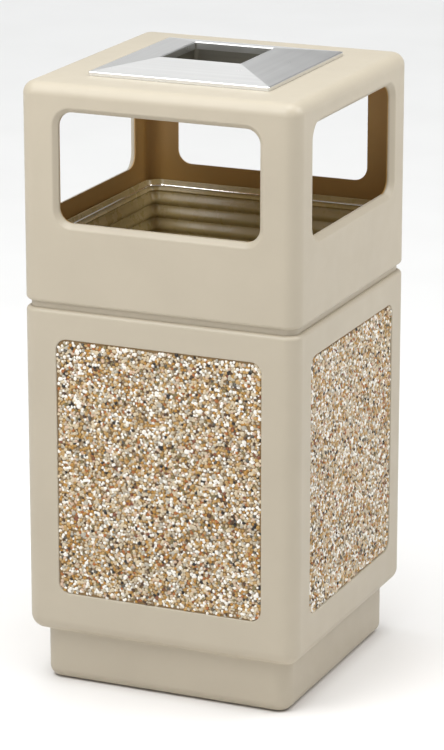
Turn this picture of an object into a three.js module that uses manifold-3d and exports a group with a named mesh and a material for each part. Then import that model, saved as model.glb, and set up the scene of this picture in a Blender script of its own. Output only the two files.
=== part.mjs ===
// Square ash and litter bin with four side openings.
// Millimetres, +Z up. The origin is the centre of the base's underside, and the front faces -Y.

import * as THREE from "three";
import { mergeVertices } from "three/addons/utils/BufferGeometryUtils.js";
import Module from "manifold-3d";

const wasm = await Module();
wasm.setup();

// Whole bin
const WIDTH = 463.6;
const HALF = WIDTH / 2;
const HEIGHT = 997;
const CORNER = 25; // radius of the upright edges
const GAP = 0.3; // between pieces that touch

// Base: one hollow moulding with an inset plinth
const BASE_TOP = 620;
const BODY_UNDERSIDE = 86;
const PLINTH_INSET = 21.5;
const PLINTH_EDGE = 18;
const BODY_BOTTOM_EDGE = 24;
const BASE_TOP_EDGE = 7;
const BASE_WALL = 7.4;
const BASE_FLOOR = 8;
const DRAIN_RADIUS = 6;
const DRAIN_SPREAD = 120;

// Stone panels, one in a pocket in each face of the base
const PANEL_LOW = 156;
const PANEL_HIGH = 574;
const PANEL_HALF = 173;
const PANEL_CORNER = 18;
const PANEL_SHADOW = 1.2; // gap all round a panel
const POCKET_DEPTH = 8.5;
const POCKET_WALL = 4.3;
const BACKER_THICKNESS = 4;
const STONE_THICKNESS = 3.3;

// Panel screws, driven from inside the base
const SCREW_HEAD_RADIUS = 5.5;
const SCREW_HEAD_HEIGHT = 2.4;
const SCREW_SHANK_RADIUS = 2.2;
const SCREW_CLEARANCE = 0.4;
const SCREW_INSET = 32; // from the panel's edges
const SCREW_SLOT_WIDTH = 1.2;
const SCREW_SLOT_LENGTH = 5;
const SCREW_SLOT_DEPTH = 1.4;

// Hood: an open-bottomed box with a window in each side and a skirt that drops into the base
const HOOD_BOTTOM = 630;
const HOOD_TOP = 976;
const HOOD_WALL = 11.8;
const HOOD_CEILING = 10;
const HOOD_TOP_EDGE = 20;
const HOOD_BOTTOM_EDGE = 7;
const HOOD_INNER_EDGE = 8;
const SKIRT_SET_BACK = 8;
const WINDOW_HALF = 167;
const WINDOW_LOW = 759;
const WINDOW_HIGH = 933;
const WINDOW_CORNER = 23;
const WINDOW_ROUND = 10;
const TRAY_HOLE_HALF = 72;
const TRAY_HOLE_CORNER = 4;

// Ash tray: a hipped sheet cover with a square pan welded to its collar
const COVER_HALF = 151;
const COVER_LIP = 6.7;
const COVER_OPENING_HALF = 67;
const COVER_COLLAR = 12;
const SHEET = 1.2;
const PAN_FLOOR = 912;
const PAN_FOLD = 3.4;
const PAN_CLEAR_BELOW_COVER = 3;

// Liner: a drafted square tub that stands on the base's floor
const LINER_BOTTOM = BASE_FLOOR + GAP;
const LINER_RIM_TOP = 730;
const LINER_RIM_HALF = 217.2;
const LINER_RIM_DROP = 16;
const LINER_RIM_BEAD = 1.4;
const LINER_RIM_STEP = 8; // the rim's inner edge lies this much below its outer edge
const LINER_TOP_HALF = 214.2;
const LINER_FOOT_HALF = 201;
const LINER_CORNER = 26;
const LINER_WALL = 3;
const LINER_FOOT_EDGE = 8;

// How finely round stretches are divided
const CORNER_STEPS = 6;
const EDGE_STEPS = 4;
const WINDOW_STEPS = 3;
const SCREW_STEPS = 12;
const SQUARE_SIDES = 4;

const QUARTER_TURN = Math.PI / 2;

const MATERIALS = {
  shell: { color: 0xc9bda3, roughness: 0.55, metalness: 0 },
  backer: { color: 0x8d8a82, roughness: 0.8, metalness: 0 },
  stone: { color: 0xcbb48f, roughness: 0.7, metalness: 0 },
  screw: { color: 0x9a9da0, roughness: 0.35, metalness: 1 },
  steel: { color: 0xc4c4c0, roughness: 0.3, metalness: 1 },
  liner: { color: 0xbdad80, roughness: 0.35, metalness: 0 },
};

function toSolid(geometry) {
  const bare = geometry.clone();
  bare.deleteAttribute("normal");
  bare.deleteAttribute("uv");
  const merged = mergeVertices(bare, 1e-4);
  return new wasm.Manifold(
    new wasm.Mesh({
      numProp: 3,
      vertProperties: new Float32Array(merged.attributes.position.array),
      triVerts: new Uint32Array(merged.index.array),
    }),
  );
}

function toGeometry(solid) {
  const mesh = solid.getMesh();
  const geometry = new THREE.BufferGeometry();
  geometry.setAttribute("position", new THREE.BufferAttribute(new Float32Array(mesh.vertProperties), 3));
  geometry.setIndex(new THREE.BufferAttribute(new Uint32Array(mesh.triVerts), 1));
  geometry.computeVertexNormals();
  return geometry;
}

function cut(geometry, cutters) {
  const solid = cutters.reduce((left, cutter) => left.subtract(toSolid(cutter)), toSolid(geometry));
  return toGeometry(solid);
}

function join(geometry, additions) {
  const solid = additions.reduce((left, addition) => left.add(toSolid(addition)), toSolid(geometry));
  return toGeometry(solid);
}

function named(name, geometry, look) {
  const mesh = new THREE.Mesh(geometry, new THREE.MeshStandardMaterial(MATERIALS[look]));
  mesh.name = name;
  return mesh;
}

// The outline of a rounded rectangle, anticlockwise, with the same number of points for any size.
function roundedOutline(halfX, halfY, radius) {
  const points = [];
  const corners = [[1, 1], [-1, 1], [-1, -1], [1, -1]];
  corners.forEach(([sideX, sideY], turn) => {
    for (let step = 0; step <= CORNER_STEPS; step += 1) {
      const angle = (turn + step / CORNER_STEPS) * QUARTER_TURN;
      const x = sideX * (halfX - radius) + radius * Math.cos(angle);
      const y = sideY * (halfY - radius) + radius * Math.sin(angle);
      points.push(new THREE.Vector2(x, y));
    }
  });
  return points;
}

// A closed solid through a stack of level rings, each { halfX, halfY, radius, z }, capped at both ends.
function loft(rings) {
  const outlines = rings.map((ring) => roundedOutline(ring.halfX, ring.halfY, ring.radius));
  const count = outlines[0].length;
  const positions = [];
  outlines.forEach((outline, level) => {
    outline.forEach((point) => positions.push(point.x, point.y, rings[level].z));
  });
  const index = [];
  for (let level = 0; level < rings.length - 1; level += 1) {
    for (let i = 0; i < count; i += 1) {
      const here = level * count + i;
      const next = level * count + ((i + 1) % count);
      index.push(here, next, next + count, here, next + count, here + count);
    }
  }
  const last = (rings.length - 1) * count;
  THREE.ShapeUtils.triangulateShape(outlines[0], []).forEach(([a, b, c]) => index.push(a, c, b));
  THREE.ShapeUtils.triangulateShape(outlines[rings.length - 1], []).forEach(([a, b, c]) => {
    index.push(last + a, last + b, last + c);
  });
  const geometry = new THREE.BufferGeometry();
  geometry.setAttribute("position", new THREE.Float32BufferAttribute(positions, 3));
  geometry.setIndex(index);
  return geometry;
}

function square(half, radius, z) {
  return { halfX: half, halfY: half, radius, z };
}

// Rings that round the edge of a square block from one level to another.
// The arc starts at the angle `from` and ends at `to`, measured from straight out towards straight up.
function roundedEdge(half, corner, edge, centreZ, from, to) {
  const rings = [];
  for (let step = 0; step <= EDGE_STEPS; step += 1) {
    const angle = from + ((to - from) * step) / EDGE_STEPS;
    const inset = edge * (1 - Math.cos(angle));
    rings.push(square(half - inset, corner - inset, centreZ + edge * Math.sin(angle)));
  }
  return rings;
}

function makeBase() {
  const plinthHalf = HALF - PLINTH_INSET;
  const innerHalf = HALF - BASE_WALL;
  const innerCorner = CORNER - BASE_WALL;
  const plinthInnerHalf = plinthHalf - BASE_WALL;
  const underside = BODY_UNDERSIDE + BODY_BOTTOM_EDGE;
  const ledge = BODY_UNDERSIDE + BASE_FLOOR;
  const ledgeEdge = innerCorner - 1;
  const shell = loft([
    ...roundedEdge(plinthHalf, CORNER, PLINTH_EDGE, PLINTH_EDGE, -QUARTER_TURN, 0),
    square(plinthHalf, CORNER, BODY_UNDERSIDE),
    ...roundedEdge(HALF, CORNER, BODY_BOTTOM_EDGE, underside, -QUARTER_TURN, 0).slice(1),
    ...roundedEdge(HALF, CORNER, BASE_TOP_EDGE, BASE_TOP - BASE_TOP_EDGE, 0, QUARTER_TURN),
    square(innerHalf, innerCorner, BASE_TOP),
    ...roundedEdge(innerHalf, innerCorner, ledgeEdge, ledge + ledgeEdge, 0, -QUARTER_TURN).slice(0, -1),
    square(plinthInnerHalf, innerCorner, ledge),
    ...roundedEdge(plinthInnerHalf, innerCorner, BASE_FLOOR, 2 * BASE_FLOOR, 0, -QUARTER_TURN),
  ]);
  const pads = FACES.map((face) => onFace(face, pocketPad()));
  const pockets = FACES.map((face) => onFace(face, pocketCutter()));
  const screwHoles = FACES.flatMap((face) => screwPlaces().map((place) => onFace(face, screwHole(place))));
  const drains = [1, -1].flatMap((sideX) => [1, -1].map((sideY) => drainHole(sideX, sideY)));
  return cut(join(shell, pads), [...pockets, ...screwHoles, ...drains]);
}

// Each face of the base is described as if it were the front and then turned about the upright axis.
const FACES = [
  { name: "front", turn: 0 },
  { name: "right", turn: QUARTER_TURN },
  { name: "back", turn: 2 * QUARTER_TURN },
  { name: "left", turn: 3 * QUARTER_TURN },
];

function onFace(face, geometry) {
  return geometry.clone().rotateZ(face.turn);
}

// An upright rounded slab on the front face between two depths below the outer surface.
function slab(halfWidth, low, high, radius, outerDepth, innerDepth) {
  const halfHeight = (high - low) / 2;
  const outline = { halfX: halfWidth, halfY: halfHeight, radius };
  return loft([{ ...outline, z: 0 }, { ...outline, z: innerDepth - outerDepth }])
    .rotateX(QUARTER_TURN)
    .translate(0, innerDepth - HALF, low + halfHeight);
}

function pocketPad() {
  const margin = BASE_WALL;
  return slab(
    PANEL_HALF + margin,
    PANEL_LOW - margin,
    PANEL_HIGH + margin,
    PANEL_CORNER,
    BASE_WALL / 2,
    POCKET_DEPTH + POCKET_WALL,
  );
}

function pocketCutter() {
  return slab(PANEL_HALF, PANEL_LOW, PANEL_HIGH, PANEL_CORNER, -POCKET_DEPTH, POCKET_DEPTH);
}

function panelSlab(outerDepth, innerDepth) {
  return slab(
    PANEL_HALF - PANEL_SHADOW,
    PANEL_LOW + PANEL_SHADOW,
    PANEL_HIGH - PANEL_SHADOW,
    PANEL_CORNER - PANEL_SHADOW,
    outerDepth,
    innerDepth,
  );
}

const BACKER_INNER = POCKET_DEPTH - GAP;
const BACKER_OUTER = BACKER_INNER - BACKER_THICKNESS;
const STONE_INNER = BACKER_OUTER - GAP;
const STONE_OUTER = STONE_INNER - STONE_THICKNESS;

function makeBacker(face) {
  const holes = screwPlaces().map((place) => screwHole(place));
  return onFace(face, cut(panelSlab(BACKER_OUTER, BACKER_INNER), holes));
}

function makeStone(face) {
  return onFace(face, panelSlab(STONE_OUTER, STONE_INNER));
}

function screwPlaces() {
  const x = PANEL_HALF - SCREW_INSET;
  return [
    { x: -x, z: PANEL_LOW + SCREW_INSET },
    { x, z: PANEL_LOW + SCREW_INSET },
    { x, z: PANEL_HIGH - SCREW_INSET },
    { x: -x, z: PANEL_HIGH - SCREW_INSET },
  ];
}

// A round bar on the front face, along Y, between two depths below the outer surface.
function bar(place, radius, outerDepth, innerDepth) {
  return new THREE.CylinderGeometry(radius, radius, innerDepth - outerDepth, SCREW_STEPS)
    .translate(place.x, (outerDepth + innerDepth) / 2 - HALF, place.z);
}

function screwHole(place) {
  return bar(place, SCREW_SHANK_RADIUS + SCREW_CLEARANCE, BACKER_OUTER - 1, POCKET_DEPTH + POCKET_WALL + 1);
}

function drainHole(sideX, sideY) {
  return new THREE.CylinderGeometry(DRAIN_RADIUS, DRAIN_RADIUS, 4 * BASE_FLOOR, SCREW_STEPS)
    .rotateX(QUARTER_TURN)
    .translate(sideX * DRAIN_SPREAD, sideY * DRAIN_SPREAD, 0);
}

// A washer-head screw. Its head bears on the inside of the pocket's wall and its tip ends in the backer.
function makeScrew(face, place) {
  const seat = POCKET_DEPTH + POCKET_WALL + GAP;
  const tip = BACKER_OUTER + GAP;
  const profile = [
    new THREE.Vector2(0, tip),
    new THREE.Vector2(SCREW_SHANK_RADIUS, tip),
    new THREE.Vector2(SCREW_SHANK_RADIUS, seat),
    new THREE.Vector2(SCREW_HEAD_RADIUS, seat),
    new THREE.Vector2(SCREW_HEAD_RADIUS, seat + SCREW_HEAD_HEIGHT / 3),
    new THREE.Vector2(SCREW_HEAD_RADIUS * 0.6, seat + SCREW_HEAD_HEIGHT),
    new THREE.Vector2(0, seat + SCREW_HEAD_HEIGHT),
  ];
  const blank = new THREE.LatheGeometry(profile, SCREW_STEPS);
  const slots = [0, QUARTER_TURN].map((turn) =>
    new THREE.BoxGeometry(SCREW_SLOT_LENGTH, 2 * SCREW_SLOT_DEPTH, SCREW_SLOT_WIDTH)
      .rotateY(turn)
      .translate(0, seat + SCREW_HEAD_HEIGHT, 0),
  );
  return onFace(face, cut(blank, slots).translate(place.x, -HALF, place.z));
}

function makeHood() {
  const innerHalf = HALF - HOOD_WALL;
  const innerCorner = CORNER - HOOD_WALL;
  const skirtHalf = HALF - SKIRT_SET_BACK;
  const skirtCorner = CORNER - SKIRT_SET_BACK;
  const skirtBottom = PANEL_HIGH + BASE_WALL + GAP;
  const ceiling = HOOD_TOP - HOOD_CEILING;
  const shell = loft([
    ...roundedEdge(innerHalf, innerCorner, HOOD_INNER_EDGE, ceiling - HOOD_INNER_EDGE, QUARTER_TURN, 0),
    square(innerHalf, innerCorner, skirtBottom),
    square(skirtHalf, skirtCorner, skirtBottom),
    square(skirtHalf, skirtCorner, HOOD_BOTTOM),
    ...roundedEdge(HALF, CORNER, HOOD_BOTTOM_EDGE, HOOD_BOTTOM + HOOD_BOTTOM_EDGE, -QUARTER_TURN, 0),
    ...roundedEdge(HALF, CORNER, HOOD_TOP_EDGE, HOOD_TOP - HOOD_TOP_EDGE, 0, QUARTER_TURN),
  ]);
  const windows = [0, QUARTER_TURN].map((turn) => windowCutter().rotateZ(turn));
  const trayHole = loft([
    square(TRAY_HOLE_HALF, TRAY_HOLE_CORNER, ceiling - HOOD_CEILING),
    square(TRAY_HOLE_HALF, TRAY_HOLE_CORNER, HOOD_TOP + HOOD_CEILING),
  ]);
  return cut(shell, [...windows, trayHole]);
}

// The cutter runs right through the hood along Y and flares at both ends, which rounds the windows' edges.
function windowCutter() {
  const halfHeight = (WINDOW_HIGH - WINDOW_LOW) / 2;
  const flare = (grow, z) => ({
    halfX: WINDOW_HALF + grow,
    halfY: halfHeight + grow,
    radius: WINDOW_CORNER + grow,
    z,
  });
  const nearEnd = [];
  for (let step = 0; step <= WINDOW_STEPS; step += 1) {
    const angle = (QUARTER_TURN * step) / WINDOW_STEPS;
    nearEnd.push(flare(WINDOW_ROUND * (1 - Math.sin(angle)), WINDOW_ROUND * (1 - Math.cos(angle)) - HALF));
  }
  const outside = flare(WINDOW_ROUND, -HALF - WINDOW_ROUND);
  const farEnd = [outside, ...nearEnd].reverse().map((ring) => ({ ...ring, z: -ring.z }));
  return loft([outside, ...nearEnd, ...farEnd])
    .rotateX(QUARTER_TURN)
    .translate(0, 0, WINDOW_LOW + halfHeight);
}

// A square ring or cup with sharp mitred corners: its profile is given as [half width, height] pairs.
function mitred(profile) {
  const points = profile.map(([half, z]) => new THREE.Vector2(half * Math.SQRT2, z));
  return new THREE.LatheGeometry(points, SQUARE_SIDES).rotateX(QUARTER_TURN).rotateZ(QUARTER_TURN / 2);
}

function makeCover() {
  const lipBottom = HOOD_TOP + GAP;
  const lipTop = HOOD_TOP + COVER_LIP;
  const collarBottom = HEIGHT - COVER_COLLAR;
  return mitred([
    [COVER_HALF, lipBottom],
    [COVER_HALF, lipTop],
    [COVER_OPENING_HALF, HEIGHT],
    [COVER_OPENING_HALF, collarBottom],
    [COVER_OPENING_HALF + SHEET, collarBottom],
    [COVER_OPENING_HALF + SHEET, HEIGHT - 1.5 * SHEET],
    [COVER_HALF - SHEET, lipTop - SHEET],
    [COVER_HALF - SHEET, lipBottom],
    [COVER_HALF, lipBottom],
  ]);
}

function makePan() {
  const inner = COVER_OPENING_HALF + SHEET + GAP;
  const outer = inner + SHEET;
  const top = HEIGHT - PAN_CLEAR_BELOW_COVER;
  return mitred([
    [0, PAN_FLOOR],
    [outer - PAN_FOLD, PAN_FLOOR],
    [outer, PAN_FLOOR + PAN_FOLD],
    [outer, top],
    [inner, top],
    [inner, PAN_FLOOR + PAN_FOLD + SHEET / 2],
    [inner - PAN_FOLD + SHEET / 2, PAN_FLOOR + SHEET],
    [0, PAN_FLOOR + SHEET],
  ]);
}

function makeLiner() {
  const rimBottom = LINER_RIM_TOP - LINER_RIM_DROP;
  const innerEdge = LINER_RIM_TOP - LINER_RIM_STEP;
  const beadMiddle = LINER_RIM_HALF - LINER_RIM_BEAD;
  const beadInside = LINER_RIM_HALF - 2 * LINER_RIM_BEAD;
  const innerTop = LINER_TOP_HALF - LINER_WALL;
  const innerFoot = LINER_FOOT_HALF - LINER_WALL;
  const innerCorner = LINER_CORNER - LINER_WALL;
  const floor = LINER_BOTTOM + LINER_WALL;
  const footEdge = LINER_FOOT_EDGE;
  return loft([
    ...roundedEdge(LINER_FOOT_HALF, LINER_CORNER, footEdge, LINER_BOTTOM + footEdge, -QUARTER_TURN, 0),
    square(LINER_TOP_HALF, LINER_CORNER, rimBottom),
    square(LINER_RIM_HALF, LINER_CORNER, rimBottom),
    square(LINER_RIM_HALF, LINER_CORNER, LINER_RIM_TOP - LINER_RIM_BEAD),
    square(beadMiddle, LINER_CORNER, LINER_RIM_TOP),
    square(beadInside, LINER_CORNER, LINER_RIM_TOP - LINER_RIM_BEAD),
    square(beadInside, LINER_CORNER, innerEdge),
    square(innerTop, innerCorner, innerEdge),
    ...roundedEdge(innerFoot, innerCorner, footEdge, floor + footEdge, 0, -QUARTER_TURN),
  ]);
}

const base = new THREE.Group();
base.add(named("base_shell", makeBase(), "shell"));
FACES.forEach((face) => {
  base.add(named(`panel_backer_${face.name}`, makeBacker(face), "backer"));
  base.add(named(`panel_stone_${face.name}`, makeStone(face), "stone"));
  screwPlaces().forEach((place, i) => {
    base.add(named(`panel_screw_${face.name}_${i + 1}`, makeScrew(face, place), "screw"));
  });
});

const ashTray = new THREE.Group();
ashTray.add(named("ash_tray_cover", makeCover(), "steel"));
ashTray.add(named("ash_tray_pan", makePan(), "steel"));

const hood = new THREE.Group();
hood.add(named("hood_shell", makeHood(), "shell"));
hood.add(ashTray);

const group = new THREE.Group();
group.add(base);
group.add(named("liner", makeLiner(), "liner"));
group.add(hood);

export default group;
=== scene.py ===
"""The looks of a square ash and litter bin: shells, pebble panels, a ribbed liner and a steel ash tray."""

import math

import bmesh
import bpy
import numpy as np
from mathutils import Matrix, Vector


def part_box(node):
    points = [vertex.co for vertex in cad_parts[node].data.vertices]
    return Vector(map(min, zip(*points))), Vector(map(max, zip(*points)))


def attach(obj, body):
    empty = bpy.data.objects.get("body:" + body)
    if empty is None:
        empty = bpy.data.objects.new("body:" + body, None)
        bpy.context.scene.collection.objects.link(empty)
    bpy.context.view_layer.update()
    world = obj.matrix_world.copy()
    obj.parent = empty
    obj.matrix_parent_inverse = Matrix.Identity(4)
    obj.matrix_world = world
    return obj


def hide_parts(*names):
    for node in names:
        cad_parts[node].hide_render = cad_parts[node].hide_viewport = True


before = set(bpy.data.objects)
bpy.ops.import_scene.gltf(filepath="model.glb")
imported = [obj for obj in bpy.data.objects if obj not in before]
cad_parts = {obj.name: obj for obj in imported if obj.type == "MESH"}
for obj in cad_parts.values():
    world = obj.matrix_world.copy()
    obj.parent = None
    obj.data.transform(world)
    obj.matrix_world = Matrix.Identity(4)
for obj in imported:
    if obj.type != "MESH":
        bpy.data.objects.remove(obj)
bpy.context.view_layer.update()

MM = 0.001
QUARTER_TURN = math.pi / 2
FACES = {"front": 0, "right": 1, "back": 2, "left": 3}  # quarter turns about the upright axis

# Sizes that the frame's boxes don't give, in metres, as the CAD model has them
CORNER = 25 * MM
BODY_UNDERSIDE = 86 * MM
PLINTH_INSET = 21.5 * MM
PLINTH_EDGE = 18 * MM
BODY_BOTTOM_EDGE = 24 * MM
BASE_TOP_EDGE = 7 * MM
BASE_WALL = 7.4 * MM
BASE_FLOOR = 8 * MM
DRAIN_RADIUS = 6 * MM
DRAIN_SPREAD = 120 * MM
PANEL_CORNER = 18 * MM
PANEL_SHADOW = 1.2 * MM
POCKET_DEPTH = 8.5 * MM
POCKET_WALL = 4.3 * MM
SCREW_HOLE_RADIUS = 2.6 * MM
HOOD_BOTTOM = 630 * MM
HOOD_WALL = 11.8 * MM
HOOD_CEILING = 10 * MM
HOOD_TOP_EDGE = 20 * MM
HOOD_BOTTOM_EDGE = 7 * MM
HOOD_INNER_EDGE = 8 * MM
SKIRT_SET_BACK = 8 * MM
WINDOW_HALF = 167 * MM
WINDOW_LOW = 759 * MM
WINDOW_HIGH = 933 * MM
WINDOW_CORNER = 23 * MM
TRAY_HOLE_HALF = 72 * MM
TRAY_HOLE_CORNER = 4 * MM
COVER_LIP = 6.7 * MM
COVER_OPENING_HALF = 67 * MM
COVER_COLLAR = 12 * MM
SHEET = 1.2 * MM
LINER_CORNER = 26 * MM
LINER_FOOT_EDGE = 8 * MM
LEAST_CORNER = 1 * MM  # what the body's floor keeps of its corners' radius

# Finer shapes that only the looks have, or have a little differently from the CAD model
JUNCTION_FILLET = 4 * MM
POCKET_ROUND = 2 * MM
WINDOW_BEVEL = 10 * MM
WINDOW_BEVEL_ROUND = 5 * MM  # rounds the bevel's two ends
COVER_FOLD = 2 * MM
COVER_CORNER = 2.2 * MM
PAN_CORNER = 9 * MM
PAN_FOLD = 7 * MM
LINER_WALL = 2.6 * MM
LINER_TOP_HALF = 212.4 * MM
LINER_FOOT_HALF = 200 * MM
LINER_RIM_DROP = 20 * MM
RIB_PITCH = 22.4 * MM
RIB_DEPTH = 5.4 * MM
RIB_SKEW = 1.6  # above 1 puts a rib's crest nearer to its foot
RIB_CORNER = 17 * MM
RIM_CHANNEL = 7.5 * MM  # how far the rim's inner lip lies below its outer bead
RIM_BEAD = 1.5 * MM
RIM_STEP = 1 * MM
RIM_LIP = 2.5 * MM  # the height of the inner lip's rounded stretch
RIM_LIP_ROUND = 4 * MM
LIP_START, LIP_END = math.radians(135), math.radians(175)  # measured from straight out

# Pebbles. The jitter, radii and edge clearance are shares of the pitch.
PEBBLE_PITCH = 4.8 * MM
PEBBLE_JITTER = 0.17
PEBBLE_RADII = (0.5, 0.72)
BIG_PEBBLE_SHARE = 0.08
BIG_PEBBLE_GROWTH = (1.2, 1.6)
BIG_PEBBLE_CLEAR = 0.8  # no pebble's middle lies within this share of a big one's radius
PEBBLE_FLATNESS = (0.45, 0.85)
PEBBLE_WIDTHS = (0.72, 1.0)  # across, as a share of the length
PEBBLE_TILT = 0.16
PEBBLE_WOBBLE = 0.09  # spread of a pebble's outline
PEBBLE_DENTS = 0.05  # spread of the heights round a pebble
PEBBLE_SIDES = 7
PEBBLE_BANDS = (0.35, 0.72, 1.0)  # the rings of a pebble's mesh, as shares of the turn from top to rim
PEBBLE_PROUD = 0.4 * MM  # the tallest pebbles stand this far out of the slab's CAD surface
PEBBLE_SINK = (2.0, 0.32 * MM)  # shape and scale of the gamma spread of depths below the tallest
PEBBLE_EDGE_CLEAR = 0.1  # between a panel's edge and the middles of its pebbles
PANEL_SEED = 100
BED_DEPTH = 2.2 * MM  # the resin bed lies this far below the slab's CAD surface
BED_CLEAR = 0.2 * MM  # between the bed and its pocket's walls

# Where materials change, and which edges stay sharp
PAINTED_SHADE_REACH = 1 * MM  # a shell's faces get the painted shade of the inside up to this far out from the hood's inner faces
LIP_REACH = 1.2 * MM  # the liner's faces get the painted highlight up to this far out from its inner lip
DOWNWARDS = -0.5  # a face whose normal points lower than this belongs to a ceiling, which gets the painted shade of the inside
SHELL_CREASE = 32  # edges bent by more than so many degrees are sharp
LINER_CREASE = 50
COVER_CREASE = 25
PAN_CREASE = 30

# How finely round stretches are divided
CORNER_STEPS = 14
EDGE_STEPS = 10
FINE_STEPS = 6
RIB_STEPS = 8
ROD_SIDES = 32

# Camera
CAMERA_AZIMUTH = math.radians(23.6)
CAMERA_DISTANCE = 5.26  # along the ground from the bin's axis
CAMERA_HEIGHT = 2.033
CAMERA_AIM_HEIGHT = 0.473
CAMERA_AIM_RIGHT = 0.007
SENSOR = 36.0
LENS = 164.6

# Light
WORLD_STRENGTH = 0.31
HORIZON_STRENGTH = 0.95
HORIZON_BAND = (0.07, 0.16)  # heights in a direction of length 1 between which the sky fades
SUN_ENERGY = 2.4
SUN_ANGLE = math.radians(50)
SUN_COLOUR = (0.92, 0.97, 1)
SUN_PLACE = (-0.2, -0.3, 4)
FRONT_POWER = 23
FRONT_PLACE = (-0.5, -1.4, 2.1)
SIDE_POWER = 19
SIDE_PLACE = (1.5, 0.4, 2.1)
NEAR_AIM = (0, 0, 0.75)  # for the front and side lights
NEAR_SIZE = 1.1
REAR_POWER = 8
REAR_PLACE = (-1.5, 3.0, 3.3)
REAR_AIM = (0, 0, 1)
REAR_SIZE = 1.8
FLOOR_REACH = 60  # from the bin to the floor's edges


# ---------------------------------------------------------------- meshes

def rounded_outline(half_x, half_y, radius, steps=CORNER_STEPS):
    points = []
    for turn, (side_x, side_y) in enumerate(((1, 1), (-1, 1), (-1, -1), (1, -1))):
        for step in range(steps + 1):
            angle = (turn + step / steps) * QUARTER_TURN
            x = side_x * (half_x - radius) + radius * math.cos(angle)
            y = side_y * (half_y - radius) + radius * math.sin(angle)
            points.append((x, y))
    return points


def square(half, radius, z):
    return (half, half, radius, z)


def rounded_edge(half, corner, edge, centre_z, start, end, steps=EDGE_STEPS):
    """Rings round a square block's edge. Angles run from 0, straight out, to a quarter turn, straight up."""
    rings = []
    for step in range(steps + 1):
        angle = start + (end - start) * step / steps
        inset = edge * (1 - math.cos(angle))
        rings.append(square(half - inset, corner - inset, centre_z + edge * math.sin(angle)))
    return rings


def loft(rings, steps=CORNER_STEPS, closed=False):
    """A bmesh through level rings (half_x, half_y, radius, z), capped at both ends or closed on itself."""
    bm = bmesh.new()
    levels = []
    for half_x, half_y, radius, z in rings:
        outline = rounded_outline(half_x, half_y, radius, steps)
        levels.append([bm.verts.new((x, y, z)) for x, y in outline])
    pairs = list(zip(levels, levels[1:]))
    if closed:
        pairs.append((levels[-1], levels[0]))
    count = len(levels[0])
    for lower, upper in pairs:
        for i in range(count):
            j = (i + 1) % count
            bm.faces.new((lower[i], lower[j], upper[j], upper[i]))
    if not closed:
        bm.faces.new(list(reversed(levels[0])))
        bm.faces.new(levels[-1])
    return bm


def make_object(name, bm, transform=None):
    if transform is not None:
        bm.transform(transform)
    mesh = bpy.data.meshes.new(name)
    bm.to_mesh(mesh)
    bm.free()
    piece = bpy.data.objects.new(name, mesh)
    bpy.context.scene.collection.objects.link(piece)
    return piece


def combined(bms):
    """One bmesh that holds all of these, which don't touch each other."""
    whole = bmesh.new()
    for bm in bms:
        part = bpy.data.meshes.new("part")
        bm.to_mesh(part)
        bm.free()
        whole.from_mesh(part)
        bpy.data.meshes.remove(part)
    return whole


def boolean(piece, tool_bm, operation):
    tool = make_object("tool", tool_bm)
    modifier = piece.modifiers.new("cut", "BOOLEAN")
    modifier.operation = operation
    modifier.solver = "EXACT"
    modifier.object = tool
    depsgraph = bpy.context.evaluated_depsgraph_get()
    made = bpy.data.meshes.new_from_object(piece.evaluated_get(depsgraph))
    piece.modifiers.clear()
    old = piece.data
    piece.data = made
    bpy.data.meshes.remove(old)
    bpy.data.objects.remove(tool)


def smooth(piece, crease):
    mesh = piece.data
    mesh.polygons.foreach_set("use_smooth", [True] * len(mesh.polygons))
    mesh.set_sharp_from_angle(angle=math.radians(crease))
    weighted = piece.modifiers.new("normals", "WEIGHTED_NORMAL")
    weighted.mode = "FACE_AREA"
    weighted.keep_sharp = True


def about_z(turns):
    return Matrix.Rotation(turns * QUARTER_TURN, 4, "Z")


def upright(centre_z):
    """Turns a loft's axis from Z to Y, so that its outline stands upright round a height."""
    return Matrix.Translation((0, 0, centre_z)) @ Matrix.Rotation(QUARTER_TURN, 4, "X")


# ---------------------------------------------------------------- materials

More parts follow.
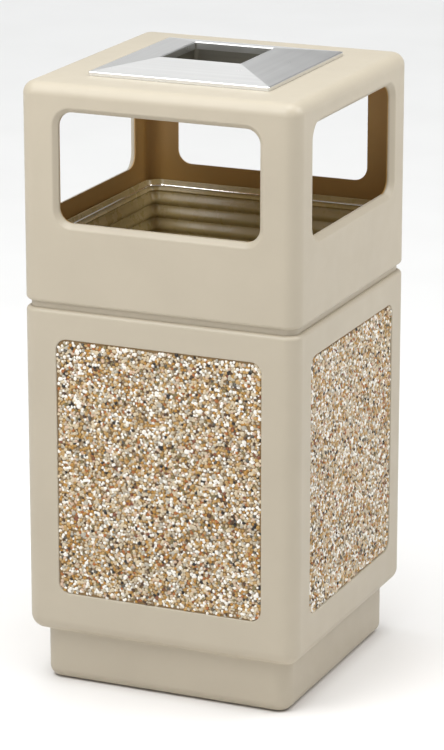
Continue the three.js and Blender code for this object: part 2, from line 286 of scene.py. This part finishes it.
class Nodes:
    """A short way to write a material's nodes."""

    def __init__(self, name):
        self.material = bpy.data.materials.new(name)
        self.material.use_nodes = True
        self.tree = self.material.node_tree
        self.shader = self.tree.nodes["Principled BSDF"]
        self.coordinates = self.add("ShaderNodeTexCoord").outputs["Object"]

    def add(self, kind, **values):
        node = self.tree.nodes.new(kind)
        for key, value in values.items():
            setattr(node, key, value)
        return node

    def link(self, output, socket):
        self.tree.links.new(output, socket)

    def stretched(self, scale):
        mapping = self.add("ShaderNodeMapping")
        mapping.inputs["Scale"].default_value = scale
        self.link(self.coordinates, mapping.inputs["Vector"])
        return mapping.outputs["Vector"]

    def noise(self, scale, detail=3.0, roughness=0.5, vector=None):
        node = self.add("ShaderNodeTexNoise")
        node.inputs["Scale"].default_value = scale
        node.inputs["Detail"].default_value = detail
        node.inputs["Roughness"].default_value = roughness
        self.link(vector or self.coordinates, node.inputs["Vector"])
        return node.outputs["Fac"]

    def ramp(self, factor, stops):
        node = self.add("ShaderNodeValToRGB")
        elements = node.color_ramp.elements
        for element, (position, colour) in zip(elements, (stops[0], stops[-1])):
            element.position = position
            element.color = (*colour, 1)
        for position, colour in stops[1:-1]:
            elements.new(position).color = (*colour, 1)
        self.link(factor, node.inputs["Fac"])
        return node.outputs["Color"]

    def span(self, factor, low, high, start=0.3, end=0.7):
        node = self.add("ShaderNodeMapRange")
        node.inputs["From Min"].default_value = start
        node.inputs["From Max"].default_value = end
        node.inputs["To Min"].default_value = low
        node.inputs["To Max"].default_value = high
        self.link(factor, node.inputs["Value"])
        return node.outputs["Result"]

    def mix(self, factor, one, other):
        node = self.add("ShaderNodeMix", data_type="RGBA")
        self.link(factor, node.inputs["Factor"])
        for value, socket in ((one, node.inputs[6]), (other, node.inputs[7])):
            if isinstance(value, tuple):
                socket.default_value = (*value, 1)
            else:
                self.link(value, socket)
        return node.outputs[2]

    def bump(self, height, distance, strength=1.0, below=None):
        node = self.add("ShaderNodeBump")
        node.inputs["Distance"].default_value = distance
        node.inputs["Strength"].default_value = strength
        self.link(height, node.inputs["Height"])
        if below is not None:
            self.link(below, node.inputs["Normal"])
        return node.outputs["Normal"]

    def set(self, **values):
        """Sets the shader's own sockets, or links an output to one."""
        for key, value in values.items():
            socket = self.shader.inputs[key.replace("_", " ")]
            if isinstance(value, bpy.types.NodeSocket):
                self.link(value, socket)
            else:
                socket.default_value = value
        return self.material


def linear(red, green, blue):
    """A colour given as 0 to 255 screen values, as the shader's linear numbers."""
    def one(value):
        value /= 255
        return value / 12.92 if value <= 0.04045 else ((value + 0.055) / 1.055) ** 2.4
    return (one(red), one(green), one(blue))


def shell_material(name, light, dark):
    """Moulded plastic: a fine leather grain, faint mottling, and a roughness that wanders a little."""
    n = Nodes(name)
    mottle = n.noise(9, detail=4, roughness=0.6)
    colour = n.ramp(mottle, [(0.3, dark), (0.7, light)])
    grain = n.noise(900, detail=2)
    orange_peel = n.noise(160, detail=2)
    peel = n.bump(orange_peel, 0.25 * MM, 0.25)
    normal = n.bump(grain, 0.08 * MM, 0.5, below=peel)
    gloss = n.span(n.noise(30, detail=5), 0.4, 0.5)
    return n.set(Base_Color=colour, Roughness=gloss, Normal=normal)


def liner_material():
    """Rigid liner plastic, slightly glossy, with soft stains on its walls."""
    n = Nodes("liner_plastic")
    stains = n.noise(14, detail=4, roughness=0.6)
    colour = n.ramp(stains, [(0.25, linear(184, 166, 116)), (0.75, linear(196, 178, 130))])
    normal = n.bump(n.noise(220, detail=3), 0.1 * MM, 0.25)
    gloss = n.span(n.noise(40, detail=4), 0.22, 0.34)
    return n.set(Base_Color=colour, Roughness=gloss, Normal=normal)


def lip_highlight_material():
    """Painted highlight on the liner rim's inner lip: a bright, near-white metal strip on the plastic liner,
    so that the lip shows as a bright line.
    """
    n = Nodes("lip_painted_highlight")
    highlight_mottle = n.noise(120, detail=4, roughness=0.6)
    colour = n.ramp(highlight_mottle, [(0.3, (0.84, 0.81, 0.74)), (0.7, (0.93, 0.91, 0.86))])
    return n.set(Base_Color=colour, Metallic=0.9, Roughness=n.span(highlight_mottle, 0.1, 0.2))


def steel_material(name, along, shade):
    """Brushed stainless sheet. The brush lines run along one axis."""
    n = Nodes(name)
    fine = tuple(4 if axis == along else 420 for axis in range(3))
    broad = tuple(1.5 if axis == along else 90 for axis in range(3))
    lines = n.noise(1, detail=3, roughness=0.7, vector=n.stretched(fine))
    bands = n.noise(1, detail=3, roughness=0.6, vector=n.stretched(broad))
    cloud = n.noise(18, detail=4, roughness=0.6)
    dark = tuple(0.9 * value for value in shade)
    colour = n.mix(n.span(bands, 0, 1), dark, shade)
    gloss = n.span(cloud, 0.27, 0.33)
    normal = n.bump(lines, 0.04 * MM, 0.08)
    return n.set(Base_Color=colour, Metallic=1.0, Roughness=gloss, Normal=normal)


def bed_material():
    """The resin and sand bed between the pebbles. Its dark tones are partly the bed's own colour and partly
    painted shade in the gaps.
    """
    n = Nodes("pebble_bed")
    sand = n.noise(1100, detail=4, roughness=0.7)
    dark, middle, light = linear(96, 74, 44), linear(146, 118, 78), linear(184, 158, 116)
    colour = n.ramp(sand, [(0.3, dark), (0.55, middle), (0.75, light)])
    normal = n.bump(sand, 0.5 * MM, 0.8)
    return n.set(Base_Color=colour, Roughness=0.75, Normal=normal)


# Pebble colours as screen values, each with its share of the pebbles
PEBBLE_COLOURS = {
    "chalk": ((246, 242, 234), 21),
    "cream": ((214, 196, 165), 18),
    "bone": ((195, 181, 157), 14),
    "pale_grey": ((182, 175, 161), 6),
    "pink": ((209, 180, 154), 6),
    "sand": ((189, 154, 99), 10),
    "straw": ((180, 141, 75), 6),
    "ochre": ((181, 132, 54), 5),
    "amber": ((168, 103, 45), 2.8),
    "rust": ((127, 73, 45), 1),
    "olive": ((130, 116, 75), 2.6),
    "taupe": ((146, 126, 97), 3),
    "brown": ((79, 53, 30), 3),
    "slate": ((88, 83, 73), 1.8),
    "soot": ((32, 26, 21), 2),
}


def pebble_material(name, colour):
    n = Nodes("pebble_" + name)
    normal = n.bump(n.noise(700, detail=3, roughness=0.6), 0.25 * MM, 0.5)
    n.set(Base_Color=(*linear(*colour), 1), Roughness=0.42, Normal=normal)
    return n.set(Coat_Weight=0.25, Coat_Roughness=0.2)


def backer_material():
    n = Nodes("backing_board")
    fibres = n.noise(1, detail=4, vector=n.stretched((90, 700, 700)))
    colour = n.ramp(fibres, [(0.3, linear(122, 118, 108)), (0.7, linear(148, 144, 134))])
    return n.set(Base_Color=colour, Roughness=0.8, Normal=n.bump(fibres, 0.2 * MM, 0.4))


def screw_material():
    n = Nodes("plated_screw")
    stain = n.noise(400, detail=3)
    colour = n.ramp(stain, [(0.3, (0.42, 0.41, 0.38)), (0.7, (0.6, 0.59, 0.57))])
    return n.set(Base_Color=colour, Metallic=1.0, Roughness=n.span(stain, 0.28, 0.42))


def floor_material():
    n = Nodes("pale_floor")
    colour = n.ramp(n.noise(3, detail=2), [(0.3, (0.83, 0.805, 0.785)), (0.7, (0.85, 0.825, 0.805))])
    return n.set(Base_Color=colour, Roughness=0.9)


SHELL = shell_material("shell_plastic", (0.49, 0.43, 0.332), (0.468, 0.41, 0.316))
# A darker, browner copy of the shell plastic: painted shade on the faces inside the hood and on its ceiling
SHELL_PAINTED_SHADE = shell_material("shell_plastic_painted_shade", (0.48, 0.29, 0.095), (0.44, 0.262, 0.083))


# ---------------------------------------------------------------- base

_, base_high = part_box("base_shell")
half = base_high.x
base_top = base_high.z
panel_low, panel_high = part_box("panel_stone_front")
panel_half = panel_high.x + PANEL_SHADOW
pocket_low = panel_low.z - PANEL_SHADOW
pocket_high = panel_high.z + PANEL_SHADOW


def slab(half_width, low, high, radius, outer_depth, inner_depth, mouth_round=0.0):
    """An upright rounded slab on the front face. A rounded mouth flares out to the face's surface."""
    half_height = (high - low) / 2
    rings = [(half_width, half_height, radius, half - inner_depth)]
    if mouth_round:
        for step in range(FINE_STEPS + 1):
            angle = QUARTER_TURN * step / FINE_STEPS
            grow = mouth_round * (1 - math.cos(angle))
            z = half - mouth_round * (1 - math.sin(angle))
            rings.append((half_width + grow, half_height + grow, radius + grow, z))
    grow = mouth_round
    rings.append((half_width + grow, half_height + grow, radius + grow, half - outer_depth))
    bm = loft(rings)
    bm.transform(upright((low + high) / 2))
    return bm


def turned(bm, face):
    bm.transform(about_z(FACES[face]))
    return bm


def base_rings():
    plinth_half = half - PLINTH_INSET
    inner_half = half - BASE_WALL
    inner_corner = CORNER - BASE_WALL
    plinth_inner = plinth_half - BASE_WALL
    ledge = BODY_UNDERSIDE + BASE_FLOOR
    ledge_edge = inner_corner - LEAST_CORNER
    body_start = BODY_UNDERSIDE + BODY_BOTTOM_EDGE
    rings = rounded_edge(plinth_half, CORNER, PLINTH_EDGE, PLINTH_EDGE, -QUARTER_TURN, 0)
    for step in range(FINE_STEPS + 1):
        angle = QUARTER_TURN * step / FINE_STEPS
        grow = JUNCTION_FILLET * (1 - math.cos(angle))
        z = BODY_UNDERSIDE - JUNCTION_FILLET * (1 - math.sin(angle))
        rings.append(square(plinth_half + grow, CORNER + grow, z))
    body_edge = rounded_edge(half, CORNER, BODY_BOTTOM_EDGE, body_start, -QUARTER_TURN, 0)
    rings += [ring for ring in body_edge if ring[0] > rings[-1][0]]
    rings += rounded_edge(half, CORNER, BASE_TOP_EDGE, base_top - BASE_TOP_EDGE, 0, QUARTER_TURN)
    rings.append(square(inner_half, inner_corner, base_top))
    rings += rounded_edge(inner_half, inner_corner, ledge_edge, ledge + ledge_edge, 0, -QUARTER_TURN)[:-1]
    rings.append(square(plinth_inner, inner_corner, ledge))
    rings += rounded_edge(plinth_inner, inner_corner, BASE_FLOOR, 2 * BASE_FLOOR, 0, -QUARTER_TURN)
    return rings


def rod(radius, length, place):
    bm = bmesh.new()
    bmesh.ops.create_cone(
        bm, cap_ends=True, segments=ROD_SIDES, radius1=radius, radius2=radius, depth=length, matrix=place
    )
    return bm


def bar(x, z, radius, outer_depth, inner_depth):
    """A round bar into the front face, between two depths below its surface."""
    middle = Matrix.Translation((x, (inner_depth + outer_depth) / 2 - half, z))
    return rod(radius, inner_depth - outer_depth, middle @ Matrix.Rotation(QUARTER_TURN, 4, "X"))


def screw_holes(face):
    bms = []
    for i in range(1, 5):
        low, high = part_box(f"panel_screw_front_{i}")
        x, z = (low.x + high.x) / 2, (low.z + high.z) / 2
        hole = bar(x, z, SCREW_HOLE_RADIUS, POCKET_DEPTH / 2, POCKET_DEPTH + 2 * POCKET_WALL)
        bms.append(turned(hole, face))
    return bms


def drain_hole(side_x, side_y):
    place = Matrix.Translation((side_x * DRAIN_SPREAD, side_y * DRAIN_SPREAD, 0))
    return rod(DRAIN_RADIUS, 4 * BASE_FLOOR, place)


def make_base():
    piece = make_object("base_moulding", loft(base_rings()))
    margin = BASE_WALL
    pad_depth = POCKET_DEPTH + POCKET_WALL
    pads = []
    pockets = []
    for face in FACES:
        low, high = pocket_low - margin, pocket_high + margin
        pad = slab(panel_half + margin, low, high, PANEL_CORNER, BASE_WALL / 2, pad_depth)
        low, high = pocket_low, pocket_high
        pocket = slab(panel_half, low, high, PANEL_CORNER, -POCKET_DEPTH, POCKET_DEPTH, POCKET_ROUND)
        pads.append(turned(pad, face))
        pockets.append(turned(pocket, face))
    boolean(piece, combined(pads), "UNION")
    holes = [hole for face in FACES for hole in screw_holes(face)]
    drains = [drain_hole(side_x, side_y) for side_x in (1, -1) for side_y in (1, -1)]
    boolean(piece, combined(pockets + holes + drains), "DIFFERENCE")
    dress_shell(piece)
    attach(piece, "base")
    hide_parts("base_shell")


def dress_shell(piece):
    smooth(piece, SHELL_CREASE)
    piece.data.materials.clear()
    piece.data.materials.append(SHELL)
    piece.data.materials.append(SHELL_PAINTED_SHADE)
    # Inward faces inside the hood's walls, and the hood's ceiling, take the painted shade material
    inner = half - HOOD_WALL + PAINTED_SHADE_REACH
    for polygon in piece.data.polygons:
        centre = polygon.center
        within = max(abs(centre.x), abs(centre.y)) < inner and centre.z > BASE_FLOOR / 2
        polygon.material_index = 1 if within and faces_in(polygon) else 0


def faces_in(polygon):
    centre, normal = polygon.center, polygon.normal
    inwards = centre.x * normal.x + centre.y * normal.y < 0
    return inwards or (normal.z < DOWNWARDS and centre.z > WINDOW_HIGH)


# ---------------------------------------------------------------- pebble panels

def pebble_places(width, height, random):
    """A jittered honeycomb of places and their radii. Large pebbles push their near neighbours out."""
    rows = int(height / (PEBBLE_PITCH * math.sqrt(3) / 2)) + 1
    columns = int(width / PEBBLE_PITCH) + 1
    row, column = np.divmod(np.arange(rows * columns), columns)
    x = (column + 0.5 * (row % 2)) * PEBBLE_PITCH - width / 2
    z = row * PEBBLE_PITCH * math.sqrt(3) / 2 - height / 2
    places = np.stack([x, z], 1) + random.normal(0, PEBBLE_JITTER * PEBBLE_PITCH, (len(x), 2))
    radius = PEBBLE_PITCH * random.uniform(*PEBBLE_RADII, len(places))
    big = random.random(len(places)) < BIG_PEBBLE_SHARE
    radius[big] *= random.uniform(*BIG_PEBBLE_GROWTH, big.sum())
    keep = np.ones(len(places), bool)
    for i in np.flatnonzero(big):
        near = np.hypot(*(places - places[i]).T) < BIG_PEBBLE_CLEAR * radius[i]
        near[i] = False
        keep &= ~(near & ~big)
    return places[keep], radius[keep]


def inside_outline(places, half_width, half_height, corner, margin):
    overshoot = np.abs(places) - (np.array([half_width, half_height]) - corner)
    distance = np.hypot(*np.maximum(overshoot, 0).T) + np.minimum(overshoot.max(1), 0)
    return distance < corner - margin


def pebble_dome():
    """The faces of a pebble's exposed half: a top point, then rings of corners, each below the last."""
    faces = [(0, 1 + i, 1 + (i + 1) % PEBBLE_SIDES) for i in range(PEBBLE_SIDES)]
    for band in range(len(PEBBLE_BANDS) - 1):
        start = 1 + band * PEBBLE_SIDES
        for i in range(PEBBLE_SIDES):
            a = start + i
            b = start + (i + 1) % PEBBLE_SIDES
            faces.append((a, a + PEBBLE_SIDES, b + PEBBLE_SIDES, b))
    return faces


def pebble_mesh(name, places, radius, surface, random):
    """All of a panel's pebbles in one mesh, standing out towards -Y from a bed behind the CAD surface."""
    count = len(places)
    bands = np.array(PEBBLE_BANDS)
    flat = random.uniform(*PEBBLE_FLATNESS, count)
    stretch = random.uniform(*PEBBLE_WIDTHS, count)
    turn = random.uniform(0, math.pi, count)
    tilt = random.normal(0, PEBBLE_TILT, (count, 2))
    top = surface - PEBBLE_PROUD + random.gamma(*PEBBLE_SINK, count)
    angles = np.arange(PEBBLE_SIDES) * 2 * math.pi / PEBBLE_SIDES
    across = np.sin(bands * QUARTER_TURN)
    down = 1 - np.cos(bands * QUARTER_TURN)
    wobble = random.normal(1, PEBBLE_WOBBLE, (count, len(bands), PEBBLE_SIDES))
    ring = radius[:, None, None] * across[None, :, None] * wobble
    u = ring * np.cos(angles)
    v = ring * np.sin(angles) * stretch[:, None, None]
    dents = random.normal(1, PEBBLE_DENTS, wobble.shape)
    depth = (radius * flat)[:, None, None] * down[None, :, None] * dents
    depth = depth + tilt[:, 0, None, None] * u + tilt[:, 1, None, None] * v
    cos, sin = np.cos(turn)[:, None, None], np.sin(turn)[:, None, None]
    x = places[:, 0, None, None] + u * cos - v * sin
    z = places[:, 1, None, None] + u * sin + v * cos
    y = top[:, None, None] + np.maximum(depth, 0)
    rings = np.stack([x, y, z], -1).reshape(count, -1, 3)
    tops = np.stack([places[:, 0], top, places[:, 1]], -1)[:, None]
    vertices = np.concatenate([tops, rings], 1)
    per_pebble = vertices.shape[1]
    dome = pebble_dome()
    faces = [
        tuple(corner + start for corner in face)
        for start in range(0, count * per_pebble, per_pebble)
        for face in dome
    ]
    mesh = bpy.data.meshes.new(name)
    mesh.from_pydata(vertices.reshape(-1, 3).tolist(), [], faces)
    shares = np.array([share for _, share in PEBBLE_COLOURS.values()], float)
    kinds = random.choice(len(shares), count, p=shares / shares.sum())
    mesh.polygons.foreach_set("material_index", np.repeat(kinds + 1, len(dome)).astype(np.int32))
    mesh.polygons.foreach_set("use_smooth", np.ones(len(faces), bool))
    return mesh


def make_panel(face, materials):
    low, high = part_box("panel_stone_front")
    half_width, half_height = high.x, (high.z - low.z) / 2
    middle = (high.z + low.z) / 2
    corner = PANEL_CORNER - PANEL_SHADOW
    random = np.random.default_rng(PANEL_SEED + FACES[face])
    places, radius = pebble_places(2 * half_width, 2 * half_height, random)
    kept = inside_outline(places, half_width, half_height, corner, PEBBLE_EDGE_CLEAR * PEBBLE_PITCH)
    fill = PANEL_SHADOW - BED_CLEAR  # the bed nearly fills the gap round the panel
    mesh = pebble_mesh("pebbles", places[kept], radius[kept], low.y, random)
    bm = loft([
        (half_width + fill, half_height + fill, corner + fill, -high.y),
        (half_width + fill, half_height + fill, corner + fill, -low.y - BED_DEPTH),
    ], FINE_STEPS)
    bm.transform(upright(0))
    bm.from_mesh(mesh)
    bpy.data.meshes.remove(mesh)
    piece = make_object(f"pebbles_{face}", bm, about_z(FACES[face]) @ Matrix.Translation((0, 0, middle)))
    for material in materials:
        piece.data.materials.append(material)
    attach(piece, "base")
    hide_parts(f"panel_stone_{face}")


# ---------------------------------------------------------------- hood

def window_cutter(turns):
    """Runs right through the hood along Y, and flares at both ends to bevel the windows' edges."""
    half_height = (WINDOW_HIGH - WINDOW_LOW) / 2
    bend = WINDOW_BEVEL_ROUND

    def flare(grow, depth):
        return (WINDOW_HALF + grow, half_height + grow, WINDOW_CORNER + grow, half - depth)

    near_end = [flare(WINDOW_BEVEL, -WINDOW_BEVEL)]
    for step in range(FINE_STEPS + 1):
        angle = QUARTER_TURN / 2 * step / FINE_STEPS
        near_end.append(flare(WINDOW_BEVEL - bend * math.sin(angle), bend * (1 - math.cos(angle))))
    for step in range(FINE_STEPS + 1):
        angle = QUARTER_TURN / 2 * (1 - step / FINE_STEPS)
        near_end.append(flare(bend * (1 - math.cos(angle)), WINDOW_BEVEL - bend * math.sin(angle)))
    far_end = [(x, y, radius, -z) for x, y, radius, z in near_end]
    bm = loft(far_end + near_end[::-1])
    bm.transform(about_z(turns) @ upright((WINDOW_HIGH + WINDOW_LOW) / 2))
    return bm


def make_hood():
    low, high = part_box("hood_shell")
    inner_half = half - HOOD_WALL
    inner_corner = CORNER - HOOD_WALL
    skirt_half = half - SKIRT_SET_BACK
    skirt_corner = CORNER - SKIRT_SET_BACK
    ceiling = high.z - HOOD_CEILING
    edge = HOOD_INNER_EDGE
    rings = rounded_edge(inner_half, inner_corner, edge, ceiling - edge, QUARTER_TURN, 0, FINE_STEPS)
    rings += [
        square(inner_half, inner_corner, low.z),
        square(skirt_half, skirt_corner, low.z),
        square(skirt_half, skirt_corner, HOOD_BOTTOM),
    ]
    edge = HOOD_BOTTOM_EDGE
    rings += rounded_edge(half, CORNER, edge, HOOD_BOTTOM + edge, -QUARTER_TURN, 0)
    edge = HOOD_TOP_EDGE
    rings += rounded_edge(half, CORNER, edge, high.z - edge, 0, QUARTER_TURN, CORNER_STEPS)
    piece = make_object("hood_moulding", loft(rings))
    for turns in (0, 1):
        boolean(piece, window_cutter(turns), "DIFFERENCE")
    tray_hole = loft([
        square(TRAY_HOLE_HALF, TRAY_HOLE_CORNER, ceiling - HOOD_CEILING),
        square(TRAY_HOLE_HALF, TRAY_HOLE_CORNER, high.z + HOOD_CEILING),
    ], FINE_STEPS)
    boolean(piece, tray_hole, "DIFFERENCE")
    dress_shell(piece)
    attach(piece, "hood")
    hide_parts("hood_shell")


# ---------------------------------------------------------------- liner

def arc(centre_half, centre_z, radius, start, end, corner, steps=FINE_STEPS):
    """Rings round a small bead. Angles run from straight out (0) to straight up (a quarter turn)."""
    rings = []
    for step in range(steps + 1):
        angle = start + (end - start) * step / steps
        offset = radius * math.cos(angle)
        rings.append(square(centre_half + offset, corner + offset, centre_z + radius * math.sin(angle)))
    return rings


def ribbed_wall(rim_bottom, foot, offset):
    """Rings down a wall of horizontal ribs that bulge into the tub. The wall leans in towards its foot."""
    rings = []
    ribs = round((rim_bottom - foot) / RIB_PITCH)
    for step in range(ribs * RIB_STEPS + 1):
        share = step / (ribs * RIB_STEPS)
        across_rib = (step % RIB_STEPS) / RIB_STEPS
        bulge = RIB_DEPTH * math.sin(math.pi * across_rib**RIB_SKEW)
        wall = LINER_TOP_HALF + (LINER_FOOT_HALF - LINER_TOP_HALF) * share
        corner = RIB_CORNER - offset - bulge / 2
        rings.append(square(wall - offset - bulge, corner, rim_bottom + (foot - rim_bottom) * share))
    return rings


def make_liner():
    low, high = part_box("liner")
    rim_bottom = high.z - LINER_RIM_DROP
    foot = low.z + LINER_FOOT_EDGE
    bead_half = high.x - RIM_BEAD
    lip_half = LINER_TOP_HALF - LINER_WALL
    lip_top = high.z - RIM_CHANNEL
    lip_bottom = lip_top - RIM_LIP
    inner_edge = LINER_FOOT_EDGE - RIM_STEP
    inner_foot = low.z + LINER_WALL + inner_edge
    foot_half = LINER_FOOT_HALF
    corner = LINER_CORNER
    step = RIM_STEP

    rings = rounded_edge(foot_half, RIB_CORNER, LINER_FOOT_EDGE, foot, -QUARTER_TURN, 0, FINE_STEPS)
    rings += ribbed_wall(rim_bottom, foot, 0)[-2::-1]
    rings.append(square(bead_half - step, corner, rim_bottom + 2 * step))
    rings.append(square(high.x, corner, rim_bottom + 4 * step))
    rings += arc(bead_half, high.z - RIM_BEAD, RIM_BEAD, 0, math.pi, corner)
    rings.append(square(lip_half + 2 * step, corner - step, lip_top - step / 2))
    lip_centre = lip_top - RIM_LIP_ROUND * math.sin(LIP_START)
    rings += arc(lip_half + RIM_LIP_ROUND, lip_centre, RIM_LIP_ROUND, LIP_START, LIP_END, corner - 2 * step)
    rings.append(square(lip_half + step, RIB_CORNER, lip_bottom - step))
    half_rib = square(lip_half - RIB_DEPTH / 2, RIB_CORNER - RIB_DEPTH / 2, (lip_bottom + 2 * rim_bottom) / 3)
    rings.append(half_rib)
    rings += ribbed_wall(rim_bottom, foot, LINER_WALL)
    foot_half -= LINER_WALL
    inner_corner = RIB_CORNER - LINER_WALL
    rings += rounded_edge(foot_half, inner_corner, inner_edge, inner_foot, 0, -QUARTER_TURN, FINE_STEPS)[1:]

    piece = make_object("liner_tub", loft(rings, RIB_STEPS))
    smooth(piece, LINER_CREASE)
    piece.data.materials.append(liner_material())
    piece.data.materials.append(lip_highlight_material())
    # The inner lip's faces get the painted highlight
    for polygon in piece.data.polygons:
        centre = polygon.center
        within = max(abs(centre.x), abs(centre.y)) < lip_half + LIP_REACH
        polygon.material_index = 1 if within and lip_bottom < centre.z < lip_top else 0
    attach(piece, "liner")
    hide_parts("liner")


# ---------------------------------------------------------------- ash tray

def brushed(piece, along_x, along_y):
    """Brush lines run along each sloping or upright side, parallel to its edge."""
    piece.data.materials.append(along_x)
    piece.data.materials.append(along_y)
    for polygon in piece.data.polygons:
        polygon.material_index = 1 if abs(polygon.center.x) > abs(polygon.center.y) else 0


def make_cover(along_x, along_y):
    low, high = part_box("ash_tray_cover")
    outer = high.x
    lip_top = low.z + COVER_LIP
    opening = COVER_OPENING_HALF
    fold = COVER_FOLD
    corner = COVER_CORNER
    inner_corner = corner - SHEET
    slope = math.atan2(high.z - lip_top, outer - opening)
    collar_bottom = high.z - COVER_COLLAR
    rings = [square(outer, corner, low.z)]
    for step in range(FINE_STEPS + 1):
        angle = (QUARTER_TURN - slope) * step / FINE_STEPS
        inset = fold * (1 - math.cos(angle))
        rings.append(square(outer - inset, corner, lip_top - fold + fold * math.sin(angle)))
    for step in range(FINE_STEPS + 1):
        angle = (QUARTER_TURN + slope) * step / FINE_STEPS - slope
        reach = opening + fold - fold * math.sin(angle)
        rings.append(square(reach, corner, high.z - fold + fold * math.cos(angle)))
    rings += [
        square(opening, corner, collar_bottom),
        square(opening + SHEET, inner_corner, collar_bottom),
        square(opening + SHEET, inner_corner, high.z - 2 * SHEET),
        square(outer - SHEET, inner_corner, lip_top - 1.5 * SHEET),
        square(outer - SHEET, inner_corner, low.z),
    ]
    piece = make_object("ash_cover", loft(rings, FINE_STEPS, closed=True))
    smooth(piece, COVER_CREASE)
    brushed(piece, along_x, along_y)
    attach(piece, "ash_tray")
    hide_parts("ash_tray_cover")


def make_pan(along_x, along_y):
    low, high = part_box("ash_tray_pan")
    outer = high.x
    inner = outer - SHEET
    fold = PAN_FOLD
    rings = rounded_edge(outer, PAN_CORNER, fold, low.z + fold, -QUARTER_TURN, 0, FINE_STEPS)
    rings += [square(outer, PAN_CORNER, high.z), square(inner, PAN_CORNER - SHEET, high.z)]
    inner_bottom = low.z + SHEET + fold
    rings += rounded_edge(inner, PAN_CORNER - SHEET, fold, inner_bottom, 0, -QUARTER_TURN, FINE_STEPS)
    piece = make_object("ash_pan", loft(rings, EDGE_STEPS))
    smooth(piece, PAN_CREASE)
    brushed(piece, along_x, along_y)
    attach(piece, "ash_tray")
    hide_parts("ash_tray_pan")


# ---------------------------------------------------------------- pieces kept from the frame

def dress_node(node, material):
    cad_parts[node].data.materials.clear()
    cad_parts[node].data.materials.append(material)


def dress_hidden_pieces():
    backer = backer_material()
    screw = screw_material()
    for face in FACES:
        dress_node(f"panel_backer_{face}", backer)
        for i in range(1, 5):
            dress_node(f"panel_screw_{face}_{i}", screw)


# ---------------------------------------------------------------- stage

def make_floor():
    bm = bmesh.new()
    bmesh.ops.create_grid(bm, x_segments=1, y_segments=1, size=FLOOR_REACH)
    floor = make_object("floor", bm)
    floor.data.materials.append(floor_material())


def add_light(name, kind, place, aim, **settings):
    data = bpy.data.lights.new(name, kind)
    for key, value in settings.items():
        setattr(data, key, value)
    light = bpy.data.objects.new(name, data)
    light.location = place
    light.rotation_euler = (Vector(aim) - Vector(place)).to_track_quat("-Z", "Y").to_euler()
    bpy.context.scene.collection.objects.link(light)


def make_world():
    """A soft even sky that brightens to the floor's white in a narrow band at the horizon."""
    world = bpy.data.worlds.new("studio")
    world.use_nodes = True
    tree = world.node_tree
    direction = tree.nodes.new("ShaderNodeTexCoord").outputs["Generated"]
    split = tree.nodes.new("ShaderNodeSeparateXYZ")
    height = tree.nodes.new("ShaderNodeMapRange")
    height.inputs["From Min"].default_value = HORIZON_BAND[0]
    height.inputs["From Max"].default_value = HORIZON_BAND[1]
    height.inputs["To Min"].default_value = HORIZON_STRENGTH
    height.inputs["To Max"].default_value = WORLD_STRENGTH
    background = tree.nodes["Background"]
    background.inputs["Color"].default_value = (1, 1, 1, 1)
    tree.links.new(direction, split.inputs["Vector"])
    tree.links.new(split.outputs["Z"], height.inputs["Value"])
    tree.links.new(height.outputs["Result"], background.inputs["Strength"])
    return world


def make_lighting():
    bpy.context.scene.world = make_world()
    add_light("overhead", "SUN", SUN_PLACE, (0, 0, 0), energy=SUN_ENERGY, angle=SUN_ANGLE, color=SUN_COLOUR)
    add_light("front", "AREA", FRONT_PLACE, NEAR_AIM, energy=FRONT_POWER, size=NEAR_SIZE)
    add_light("side", "AREA", SIDE_PLACE, NEAR_AIM, energy=SIDE_POWER, size=NEAR_SIZE)
    add_light("rear", "AREA", REAR_PLACE, REAR_AIM, energy=REAR_POWER, size=REAR_SIZE)
    bpy.context.scene.view_settings.view_transform = "Standard"


def make_camera():
    data = bpy.data.cameras.new("camera")
    data.sensor_width = SENSOR
    data.lens = LENS
    camera = bpy.data.objects.new("camera", data)
    out = Vector((math.sin(CAMERA_AZIMUTH), -math.cos(CAMERA_AZIMUTH), 0))
    right = Vector((math.cos(CAMERA_AZIMUTH), math.sin(CAMERA_AZIMUTH), 0))
    camera.location = CAMERA_DISTANCE * out + Vector((0, 0, CAMERA_HEIGHT))
    aim = CAMERA_AIM_RIGHT * right + Vector((0, 0, CAMERA_AIM_HEIGHT))
    camera.rotation_euler = (aim - camera.location).to_track_quat("-Z", "Y").to_euler()
    bpy.context.scene.collection.objects.link(camera)
    bpy.context.scene.camera = camera


make_camera()
make_floor()
make_lighting()
make_base()
panel_materials = [bed_material()]
panel_materials += [pebble_material(name, colour) for name, (colour, _) in PEBBLE_COLOURS.items()]
for face in FACES:
    make_panel(face, panel_materials)
make_hood()
make_liner()
steel_x = steel_material("brushed_steel_x", 0, (0.84, 0.84, 0.83))
steel_y = steel_material("brushed_steel_y", 1, (0.84, 0.84, 0.83))
make_cover(steel_x, steel_y)
# The pan's steel is a darker, warmer copy of the cover's: painted shade for the pan under the cover
make_pan(
    steel_material("pan_steel_painted_shade_x", 0, (0.5, 0.48, 0.43)),
    steel_material("pan_steel_painted_shade_y", 1, (0.5, 0.48, 0.43)),
)
dress_hidden_pieces()
